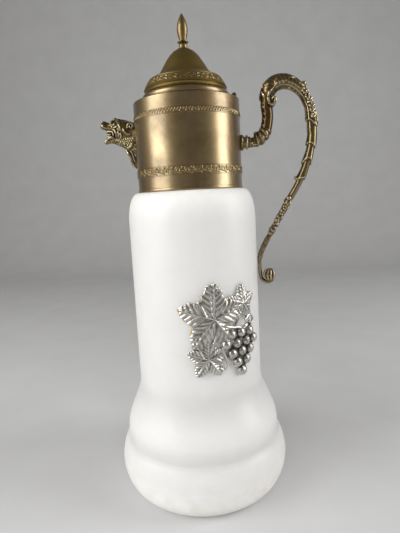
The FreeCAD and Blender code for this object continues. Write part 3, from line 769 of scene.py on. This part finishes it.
# Middle line of the loop: reach from the collar, rise over the stud, and width.
HANDLE_LOOP = (
    (4.6, 0.0, 6.2), (8.5, -0.2, 6.6), (13.1, 1.7, 7.4), (17.1, 7.0, 7.8), (18.9, 15.8, 7.5),
    (18.3, 23.8, 8.0), (19.1, 30.8, 9.0), (22.5, 36.0, 9.5), (28.1, 38.1, 9.0), (34.1, 37.1, 8.0),
    (39.3, 33.6, 6.8), (43.9, 28.1, 6.2), (47.2, 19.6, 6.4), (48.6, 8.8, 6.6), (47.9, -2.6, 6.2),
    (44.4, -16.2, 5.8), (39.1, -28.8, 5.0), (32.3, -40.4, 3.8), (23.3, -56.0, 3.2),
    (15.7, -68.8, 3.2), (11.2, -78.6, 2.8), (10.4, -86.8, 2.6),
)
LOOP_STEPS = 8
CURL_CENTRE = (16.2, -94.2)
CURL_STEPS = 6
CURL_START_R = 5.0
CURL_END_R = 2.4
CURL_FROM = 190
CURL_TURN = 216
CURL_THIN = 2.6
CURL_SWELL = 1.8
BUD_SIZE = 4.3
BUD_SEAMS = 4
SEAM_POINTS = 9
BUD_SEAM_R = 0.75
HANDLE_DEPTH = 1.12
HANDLE_GRAIN = 0.29
HANDLE_STEP = 0.45
HANDLE_CORNERS = 56
FLANGES = ((39.9, 41.4, 4.9), (41.4, 43.2, 3.8))
FLANGE_CORNERS = 40
VOLUTE = (58.4, 0.0, 274.1)
VOLUTE_R = 3.1
VOLUTE_L = 10.2
VOLUTE_LINE = (
    (61.7, 284.6), (57.9, 280.6), (55.6, 276.7), (56.1, 272.9), (58.0, 271.3), (60.0, 272.6),
    (60.6, 274.7), (59.2, 275.9), (58.4, 274.4),
)
PEBBLES = 64
KNOTS = 16
KNOT_PITCH = 1.8
BOSS = (53.6, 283.6)
BOSS_RING_R = 1.6
BOSS_STEPS = 14
stations = list(HANDLE_LOOP)
curl = curled(CURL_CENTRE, CURL_START_R, CURL_END_R, CURL_FROM, CURL_TURN, CURL_STEPS)
for k, (x, z) in enumerate(curl):
    stations.append((x, z, CURL_THIN + CURL_SWELL * k / CURL_STEPS))
line_of_handle = []
for reach, rise, width in smooth_line(stations, LOOP_STEPS):
    line_of_handle.append((COLLAR_R + reach, HANDLE_Z + rise, width))
run_of_handle = [0.0]
for here, ahead in zip(line_of_handle, line_of_handle[1:]):
    run_of_handle.append(run_of_handle[-1] + math.hypot(ahead[0] - here[0], ahead[1] - here[1]))
place_run = [run_of_handle[LOOP_STEPS * k] for k in range(len(HANDLE_LOOP))]


def at_run(run):
    """Middle x, z, width and outward direction at a run in millimetres along the handle."""
    k = max(1, min(len(run_of_handle) - 3, bisect.bisect_right(run_of_handle, run) - 1))
    share = max(0.0, min(1.0, (run - run_of_handle[k]) / (run_of_handle[k + 1] - run_of_handle[k])))
    x, z, width = (a + (b - a) * share for a, b in zip(line_of_handle[k], line_of_handle[k + 1]))
    before = [a + (b - a) * share for a, b in zip(line_of_handle[k - 1], line_of_handle[k])]
    after = [a + (b - a) * share for a, b in zip(line_of_handle[k + 1], line_of_handle[k + 2])]
    ahead = (after[0] - before[0], after[1] - before[1])
    return x, z, width, (-ahead[1] / math.hypot(*ahead), ahead[0] / math.hypot(*ahead))


def on_handle(run, across):
    """Point x, z off the handle's middle line; across is -1 on its inner edge, 1 on its outer."""
    x, z, width, out = at_run(run)
    return x + out[0] * across * width / 2, z + out[1] * across * width / 2


def between(value, low, high, blend):
    """1 between low and high and 0 outside, blended over a length at both ends."""
    return max(0.0, min(1.0, (value - low) / blend, (high - value) / blend))


def sheath_end(k, turn):
    """Run where the sheath near a place of the loop ends; its edge slants round the stem."""
    return place_run[k] + 2.4 * math.sin(1.9 * k) + (1.5 + k % 2) * math.cos(1.6 * turn + 0.9 * k)


def leafage(run, turn):
    """Height of the cast leafage over the plain stem; turn is 0 outside the loop, pi inside."""
    rim = between(turn, -1.0, 0.75, 0.3)
    faces = between(turn, 0.45, 2.05, 0.3)
    twist = abs(math.sin(math.pi * run / 3.5 + turn))
    teeth = (run / 4.2 + 0.6 * turn) % 1.0
    lobes = abs(math.sin(math.pi * (run / 10.5 + 0.35 * turn))) ** 0.32
    cuts = abs(math.sin(math.pi * (run / 2.4 - 0.9 * turn))) ** 0.7
    knots = abs(math.sin(math.pi * run / 5.2 + 0.6 * turn)) ** 0.8
    height = between(run, 4.5, 17.0, 2.0) * (0.95 * twist - 0.1)
    height += between(run, 16.0, 34.0, 2.0) * between(turn, -1.0, 1.3, 0.5) * 0.35 * teeth ** 0.7
    leaf_faces = faces * (1.45 * lobes + 0.12 * cuts - 0.5)
    height += between(run, 36.0, 72.0, 4.0) * (0.8 * rim + leaf_faces)
    height += between(run, 44.0, 98.0, 3.0) * 0.6 * math.exp(-(((turn - 2.2) / 0.16) ** 2))
    height += between(run, 40.0, 98.0, 3.0) * 0.65 * math.exp(-(((turn - 2.95) / 0.2) ** 2))
    for k in (13, 14, 15, 16, 17):
        end = sheath_end(k, turn)
        start = sheath_end(k - 1, turn)
        if start < run < end:
            share = (run - start) / (end - start)
            fold = abs(math.cos(1.5 * turn + 1.2 * share)) ** 0.5
            height += (1.25 * share ** 1.2 * (0.7 + 0.3 * fold) - 0.35) * (1.0 if k < 17 else 0.7)
    height += between(run, place_run[17] - 1.0, place_run[19] - 4.0, 2.5) * (0.35 + 0.35 * knots)
    height += between(run, place_run[19] - 4.0, place_run[20] + 4.0, 2.0) * (0.3 + 0.2 * knots)
    return height


grip = bmesh.new()
rows = []
row_count = int(run_of_handle[-1] / HANDLE_STEP)
for k in range(row_count + 1):
    run = run_of_handle[-1] * k / row_count
    x, z, width, out = at_run(run)
    row = []
    for c in range(HANDLE_CORNERS):
        angle = 2 * math.pi * c / HANDLE_CORNERS
        rise = leafage(run, min(angle, 2 * math.pi - angle))
        reach = (width / 2 + rise) * math.cos(angle)
        side = (width * HANDLE_DEPTH / 2 + rise) * math.sin(angle)
        row.append(grip.verts.new(Vector((x + out[0] * reach, side, z + out[1] * reach)) * MM))
    rows.append(row)
skinned(grip, rows)
for start, end, radius in FLANGES:
    flange = [(start, 0, HANDLE_Z), (end, 0, HANDLE_Z)]
    tube(grip, flange, [(radius, radius)] * 2, FLANGE_CORNERS)
lying = Matrix.Translation(Vector(VOLUTE) * MM) @ Matrix.Rotation(math.pi / 2, 4, "X")
bmesh.ops.create_cone(
    grip, cap_ends=True, segments=FLANGE_CORNERS, radius1=VOLUTE_R * MM, radius2=VOLUTE_R * MM,
    depth=VOLUTE_L * MM, matrix=lying)
bmesh.ops.recalc_face_normals(grip, faces=grip.faces)
bmesh.ops.triangulate(grip, faces=[f for f in grip.faces if len(f.verts) > 4])
bare_grip = BVHTree.FromBMesh(grip)
ribs(grip, bare_grip, VOLUTE_LINE, 0.9, 0.0)
random.seed(7)
for k in range(PEBBLES):
    run = random.uniform(place_run[10] + 3.0, place_run[13] - 2.0)
    spot = on_handle(run, random.uniform(-0.1, 0.92))
    size = random.uniform(0.65, 1.1)
    pads(grip, bare_grip, (spot,), (size, size, size))
for k in range(KNOTS):
    run = place_run[17] + KNOT_PITCH * k + random.uniform(-0.7, 0.7)
    spot = on_handle(run, random.uniform(-0.8, 0.8))
    size = random.uniform(1.1, 1.9)
    pads(grip, bare_grip, (spot,), (size, size * 0.8, size))
tips = [(79.9, 284.0, 1.9), (46.9, 253.6, 1.6)]
tips += [(50.9, 275.8, 1.0), (50.7, 277.4, 1.0), (51.0, 279.0, 1.0)]
tips += [(*on_handle(place_run[16] - 1.5, -1.3), 1.3), (*on_handle(place_run[18] + 6.0, -1.4), 0.9)]
for x, z, size in tips:
    blob(grip, (x, 0, z), (size, size * 1.3, size))
bud_x = COLLAR_R + CURL_CENTRE[0] + 1.0
bud_z = HANDLE_Z + CURL_CENTRE[1] + 1.0
blob(grip, (bud_x, 0, bud_z), (BUD_SIZE, BUD_SIZE, BUD_SIZE))
for side in (-1, 1):
    for k in range(BUD_SEAMS):
        seam = []
        for t in range(SEAM_POINTS):
            high = 0.9 - 0.22 * t
            across = (-0.75 + 0.5 * k + 0.16 * (high * high - 0.5)) * math.sqrt(1 - high * high)
            depth = math.sqrt(max(0.0, 1 - high * high - across * across))
            seam_x = bud_x + BUD_SIZE * across
            seam.append((seam_x, side * BUD_SIZE * depth, bud_z + BUD_SIZE * high))
        tube(grip, seam, [(BUD_SEAM_R, BUD_SEAM_R)] * len(seam), RIB_CORNERS)
boss_ring = []
for k in range(BOSS_STEPS):
    x = BOSS[0] + BOSS_RING_R * math.cos(0.5 * k)
    boss_ring.append((x, BOSS[1] + BOSS_RING_R * math.sin(0.5 * k)))
blob(grip, (BOSS[0], 0, BOSS[1]), (2.2, 3.6, 2.2))
for side in (-1, 1):
    tube(grip, [(x, side * 3.2, z) for x, z in boss_ring], [(0.75, 0.6)] * BOSS_STEPS, RIB_CORNERS)
# The larger share here also paints shade on the handle's inner limb beside the collar.
handle_bronze = cast_bronze("gilt_handle", 0.6)
settled(cast("handle_scroll", grip, HANDLE_GRAIN), handle_bronze, "jug", "cast_bronze", "handle")

# Handle fixing
# A turned washer between collar and handle, and inside the collar the stud's washer and nut.
# They are plain turned brass, left as cut, and darkened with age.
SADDLE_LINE = (
    (36.0, 4.6), (36.6, 5.3), (37.6, 5.4), (38.2, 5.0), (38.5, 4.2), (39.3, 3.9), (39.9, 3.9),
)
SADDLE_CORNERS = 48
FIXING_EDGE = 0.18
fixing_brass = gilt_sheet("turned_brass", 0.5)
saddle = bmesh.new()
saddle_path = [(x, 0, HANDLE_Z) for x, radius in SADDLE_LINE]
tube(saddle, saddle_path, [(radius, radius) for x, radius in SADDLE_LINE], SADDLE_CORNERS)
bmesh.ops.recalc_face_normals(saddle, faces=saddle.faces)
saddle_washer = finished("saddle_washer", saddle, TURNED_EDGE)
settled(saddle_washer, fixing_brass, "jug", "gilt_brass", "handle_saddle")
for node in ("handle_stud", "stud_washer", "stud_nut"):
    dressed(node, fixing_brass, FIXING_EDGE)

# Lid
# A turned bead ring with the plug below it, and a spun dome with a die-rolled band of leaves.
# All gilt brass like the collar; the dome is rubbed and a little darker.
LID_R = 29.9
LID_Z = 277.2
LID_TURN = 256
BEAD_R = 2.9
BEAD_STEPS = 16
BEZEL_R = 25.6
BEZEL_PLAY = 0.05
BEZEL_WALL = 0.9
BEZEL_LOW = 271.0
DOME_Z = 283.0
LID_BAND_LOW = (28.5, 285.4)
LID_BAND_HIGH = (24.5, 292.0)
LID_BAND_H = 5.0
LID_BAND_COUNT = 26
LID_BAND_SUNK = 0.06
DOME_FOOT = ((24.4, DOME_Z), (28.2, DOME_Z), (27.8, 283.5), (27.6, 284.2), (27.9, 285.0))
DOME_BAND = (LID_BAND_LOW, (28.2, 286.0), (25.0, 291.2), (24.9, 291.7), LID_BAND_HIGH)
DOME_LEDGE = ((23.6, 292.5), (22.7, 292.8), (22.0, 293.2))
DOME_LINE = (
    (21.2, 293.5), (18.7, 295.0), (16.6, 297.4), (13.9, 301.8), (10.6, 306.6), (7.4, 310.0),
    (3.8, 312.2),
)
DOME_HOLE = ((1.6, 312.2), (1.6, 311.3))
DOME_INSIDE = ((3.8, 311.3), (9.6, 305.9), (15.6, 296.6), (19.8, 292.6), (24.4, 285.4))
lid_gilt = gilt_sheet("gilt_lid", 0.9)
bead_gilt = gilt_sheet("gilt_bead", 0.25)
bead = [(BEZEL_R + BEZEL_PLAY, DOME_Z), (BEZEL_R + BEZEL_PLAY, LID_Z)]
for k in range(BEAD_STEPS + 1):
    angle = math.pi * (k / BEAD_STEPS - 0.5)
    bead_r = LID_R - BEAD_R + BEAD_R * math.cos(angle)
    bead.append((bead_r, LID_Z + BEAD_R * (1 + math.sin(angle))))
settled(turned("lid_bead", bead, LID_TURN), bead_gilt, "lid", "gilt_brass", "lid_ring")
plug = [(BEZEL_R - BEZEL_WALL, BEZEL_LOW), (BEZEL_R - 0.3, BEZEL_LOW), (BEZEL_R, BEZEL_LOW + 0.4)]
plug += [(BEZEL_R, DOME_Z), (BEZEL_R - BEZEL_WALL, DOME_Z)]
settled(turned("lid_plug", plug, LID_TURN), lid_gilt, "lid", "gilt_brass", "lid_bezel")
dome = [*DOME_FOOT, *DOME_BAND, *DOME_LEDGE, *smooth_line(DOME_LINE, 5), *DOME_HOLE, *DOME_INSIDE]
settled(turned("lid_dome_cap", dome, LID_TURN), lid_gilt, "lid", "gilt_brass", "lid_dome")
lid_band_r = (LID_BAND_LOW[0] + LID_BAND_HIGH[0]) / 2
lid_band_z = (LID_BAND_LOW[1] + LID_BAND_HIGH[1]) / 2
lid_slope = math.atan2(LID_BAND_LOW[0] - LID_BAND_HIGH[0], LID_BAND_HIGH[1] - LID_BAND_LOW[1])
lid_scroll = [
    (curled((0.3, 0.1), 1.7, 0.4, 190, -420, 30), 0.42),
    (bowed((-2.5, -1.4), (-1.2, 1.6), 0.5, 8), 0.5),
    (bowed((1.2, -1.5), (2.7, -0.4), 0.4, 8), 0.5),
    (bowed((1.5, 0.6), (2.8, 1.8), 0.3, 8), 0.45),
]
lid_repeat = 2 * math.pi * lid_band_r / LID_BAND_COUNT
lid_taper = math.tan(lid_slope) / lid_band_r
patch = band_patch(
    "lid_patch", lid_repeat, LID_BAND_H, 20, 18, 0.34, lid_scroll, lid_band_r, lid_taper)
lid_strip_r = lid_band_r - LID_BAND_SUNK
lid_band = set_round(
    "lid_band", patch, LID_BAND_COUNT, lid_strip_r, lid_band_z, -lid_slope, band_gilt)
settled(lid_band, band_gilt, "lid", "gilt_brass")

# Finial
# A turned bud with a pointed tip, on a disc and a bobbin. Its stud goes through the dome,
# and a washer and a nut hold it from below.
FINIAL_STUD = ((0.0, 308.0), (1.5, 308.0), (1.5, 312.2))
FINIAL_BOBBIN = (
    (2.5, 312.2), (2.8, 312.7), (2.9, 313.9), (2.8, 315.0), (2.4, 315.5), (1.8, 315.7), (1.8, 316.1),
)
FINIAL_DISC = ((3.4, 316.2), (3.75, 316.5), (3.75, 316.8), (3.4, 317.1))
FINIAL_BUD = (
    (2.2, 317.2), (2.7, 319.1), (3.4, 321.8), (3.7, 324.4), (3.4, 327.4), (2.6, 330.2),
    (1.6, 332.4), (0.8, 334.0),
)
FINIAL_TIP = ((0.45, 334.6), (0.0, 334.9))
FINIAL_TURN = 64
finial_line = [*FINIAL_STUD, *FINIAL_BOBBIN, *FINIAL_DISC, *smooth_line(FINIAL_BUD, 4), *FINIAL_TIP]
finial_gilt = gilt_sheet("gilt_finial", 0.5)
finial = turned("finial_bud", finial_line, FINIAL_TURN)
settled(finial, finial_gilt, "lid", "gilt_brass", "finial")
for node in ("finial_washer", "finial_nut"):
    dressed(node, lid_gilt)

# Hinge
# A leaf riveted to the collar's shoulder with a knuckle at each side, the lid's lug with the middle
# knuckle, and a pin through all three. Plain filed brass.
HINGE_EDGE = 0.12
for node in ("hinge_collar_leaf", "hinge_lid_lug", "hinge_pin", "hinge_rivets"):
    dressed(node, lid_gilt, HINGE_EDGE)

# Leaves on the glass
# Three vine leaves and a bunch of grapes with tendrils, cast in one and finished in oxidised silver
# plate. The casting is bedded on the glass in yellowed cement.
LEAF_ANGLE = math.radians(-60.0)
LEAF_Z = 125.8
BED_R = 45.6
# Leaves: sideways, up, radius and lift.
LEAVES = ((-8.5, 9.5, 19.0, 0.5), (12.5, 17.0, 10.5, 0.2), (-13.0, -17.0, 11.5, 0.2))
LEAF_BACK = 0.1
LEAF_GRAIN = 0.305
SPOKES = 180
RINGS = 24
GRAPE_ROWS = (3, 4, 3, 2, 1)
GRAPES_AT = (10.5, -2.5)
GRAPE_PITCH = 7.4
GRAPE_DROP = 6.4
TENDRILS = (
    ((-9.0, 9.0), (-2.0, 4.0), (4.0, 2.0), (10.0, 1.0), (12.0, -2.0)),
    ((6.0, 3.0), (10.0, 9.0), (12.5, 17.0)),
    ((14.0, 5.0), (19.0, 7.5), (22.5, 4.5), (20.5, 1.5), (18.0, 3.5)),
    ((-6.0, 0.0), (-10.0, -8.0), (-13.0, -17.0)),
    ((-2.0, -4.0), (-3.5, -12.0), (-1.0, -20.0), (-3.0, -25.0), (-6.0, -23.5)),
)
TENDRIL_R = 0.85
TENDRIL_OUT = 1.5


def on_glass(side, rise, height):
    """Point over the glass at the leaves: sideways along the glass, up, and out from the bed."""
    angle = LEAF_ANGLE + side / BED_R
    radius = BED_R + height
    return (radius * math.cos(angle), radius * math.sin(angle), LEAF_Z + rise)


def leaf_relief(angle, share, radius):
    """Reach and height of a leaf's upper face: five veined lobes with bulges between the veins."""
    teeth = 0.07 * abs(((angle * 25 / math.pi) % 2) - 1)
    reach = radius * (1 + 0.22 * math.sin(5 * angle) + teeth - 0.04) * share
    lobe = (5 * angle - math.pi / 2) / (2 * math.pi)
    lean = (lobe - round(lobe)) * 2 * math.pi / 5
    along = reach * math.cos(lean)
    off = abs(reach * math.sin(lean))
    vein = math.exp(-((off / 0.7) ** 2))
    bulge = math.sqrt(abs(math.sin(math.pi * (along - 0.8 * off) / (0.17 * radius + 0.4))))
    ripple = 0.35 * math.sin(7 * angle + 4 * share)
    height = 0.7 + 1.3 * bulge * min(1.0, off / 1.4) + 1.4 * vein - 0.9 * share ** 6 + ripple
    return reach, height


def add_leaf(mesh, side, rise, radius, lift):
    """Adds a closed leaf at a place on the glass."""
    rows = []
    for j in range(RINGS + 2):
        row = []
        for k in range(SPOKES):
            angle = 2 * math.pi * k / SPOKES
            reach, height = leaf_relief(angle, min(1.0, (j + 0.5) / RINGS), radius)
            height = height + lift if j < RINGS + 1 else LEAF_BACK
            across = side + reach * math.cos(angle)
            up = rise + reach * math.sin(angle)
            row.append(mesh.verts.new(Vector(on_glass(across, up, height)) * MM))
        rows.append(row)
    skinned(mesh, rows)


leaf = bmesh.new()
for side, rise, radius, lift in LEAVES:
    add_leaf(leaf, side, rise, radius, lift)
random.seed(3)
for row, number in enumerate(GRAPE_ROWS):
    for k in range(number):
        side = GRAPES_AT[0] + (k - (number - 1) / 2) * GRAPE_PITCH
        rise = GRAPES_AT[1] - row * GRAPE_DROP
        blob(leaf, on_glass(side, rise, 0.5), (1.0, 4.6, 4.6), LEAF_ANGLE + side / BED_R)
        side += random.uniform(-0.4, 0.4)
        rise += random.uniform(-0.4, 0.4)
        blob(leaf, on_glass(side, rise, 1.0), (3.5, 3.5, 3.7))
for line in TENDRILS:
    path = [on_glass(side, rise, TENDRIL_OUT) for side, rise in smooth_line(line, 6)]
    tube(leaf, path, [(TENDRIL_R, TENDRIL_R)] * len(path), RIB_CORNERS)
bmesh.ops.recalc_face_normals(leaf, faces=leaf.faces)
bmesh.ops.triangulate(leaf, faces=[f for f in leaf.faces if len(f.verts) > 4])
silver, place, shader = new_finish("oxidised_silver")
# Recesses found by ambient occlusion: black oxide and painted shade.
oxide_and_shade = place.hollows(2.2).span(0.10, 0.42)
# Convex ridges: silver rubbed bright, with a painted highlight.
rubbed_and_highlight = place.ridges().span(0.505, 0.54)
tarnish = place.cloud(6, 4).span(0.4, 0.7)
plate = tarnish.mixed(seen(196, 193, 187), seen(142, 139, 131))
plate = (rubbed_and_highlight * 0.9).mixed(plate, seen(242, 242, 238))
# Painted shade, partly oxide: the hollows go near-black.
plate = oxide_and_shade.mixed(plate, seen(18, 17, 16))
wear(silver, shader, Base_Color=plate, Metallic=1.0 - oxide_and_shade * 0.5)
wear(silver, shader, Roughness=0.3 + oxide_and_shade * 0.4 + tarnish * 0.08)
wear(silver, shader, Normal=place.cloud(0.6, 3).bumped(0.05, 0.6))
settled(cast("vine_leaves", leaf, LEAF_GRAIN), silver, "jug", "silvered_metal", "badge")

# Studio
# A pale sweep of card for floor and backdrop, a soft box at each side, and a broad one in front that
# isn't mirrored in the metal. The camera stands close, above the jug's middle and turned slightly.
SWEEP_FRONT = -2.2
SWEEP_BACK = 0.9
SWEEP_BEND = 0.5
SWEEP_TOP = 2.4
SWEEP_HALF = 3.0
SWEEP_STEPS = 12
AIR_COLOUR = (0.60, 0.56, 0.50, 1.0)
AIR_STRENGTH = 0.32
LAMP_AIM = (0, 0, 0.16)
WARM_WHITE = (1.0, 0.98, 0.95)
CAMERA_PLACE = (0.0362, -0.3097, 0.2111)
CAMERA_TURN = 6.0
CAMERA_DIP = 8.84
CAMERA_ROLL = -3.0
FILM = 36.0
FOCAL_SHARE = 431 / 533
sweep = bmesh.new()
profile = [(SWEEP_FRONT, 0.0), (SWEEP_BACK, 0.0)]
for k in range(1, SWEEP_STEPS + 1):
    turn = math.pi / 2 * k / SWEEP_STEPS
    bend_y = SWEEP_BACK + SWEEP_BEND * math.sin(turn)
    profile.append((bend_y, SWEEP_BEND - SWEEP_BEND * math.cos(turn)))
profile.append((SWEEP_BACK + SWEEP_BEND, SWEEP_TOP))
rows = [[sweep.verts.new((x, y, z)) for x in (-SWEEP_HALF, SWEEP_HALF)] for y, z in profile]
for row, following in zip(rows, rows[1:]):
    sweep.faces.new((row[0], row[1], following[1], following[0]))
backdrop = finished("studio_sweep", sweep, 60.0)
card, place, shader = new_finish("studio_card")
grey = place.cloud(60).span(0.3, 0.7).mixed(seen(198, 200, 203), seen(203, 205, 208))
wear(card, shader, Base_Color=grey, Roughness=0.85)
backdrop.data.materials.append(card)

world = bpy.data.worlds.new("studio_air")
bpy.context.scene.world = world
world.use_nodes = True
air = world.node_tree.nodes["Background"]
air.inputs["Color"].default_value = AIR_COLOUR
air.inputs["Strength"].default_value = AIR_STRENGTH


def soft_box(name, place, width, height, power, colour):
    """Lamp of that size in metres and power in watts, aimed at the jug's middle."""
    lamp = bpy.data.lights.new(name, "AREA")
    lamp.shape = "RECTANGLE"
    lamp.size = width
    lamp.size_y = height
    lamp.energy = power
    lamp.color = colour
    stand = placed(name, lamp)
    stand.location = place
    aim = Vector(LAMP_AIM) - Vector(place)
    stand.rotation_euler = aim.to_track_quat("-Z", "Y").to_euler()
    return stand


soft_box("left_box", (-0.86, -0.52, 0.58), 0.72, 0.9, 9.4, WARM_WHITE)
soft_box("right_box", (1.0, -0.10, 0.55), 0.48, 0.85, 7.0, (1.0, 0.98, 0.96))
front_box = soft_box("front_box", (-0.05, -1.05, 0.70), 1.2, 0.6, 7.4, WARM_WHITE)
front_box.visible_glossy = False

lens = bpy.data.cameras.new("camera")
lens.sensor_width = FILM
lens.lens = FILM * FOCAL_SHARE
lens.clip_start = 0.01
camera = placed("camera", lens)
turn = Matrix.Rotation(math.radians(CAMERA_TURN), 4, "Z")
pitch = Matrix.Rotation(math.radians(90 - CAMERA_DIP), 4, "X")
roll = Matrix.Rotation(math.radians(CAMERA_ROLL), 4, "Z")
camera.matrix_world = Matrix.Translation(CAMERA_PLACE) @ turn @ pitch @ roll
bpy.context.scene.camera = camera
bpy.context.scene.view_settings.view_transform = "Standard"
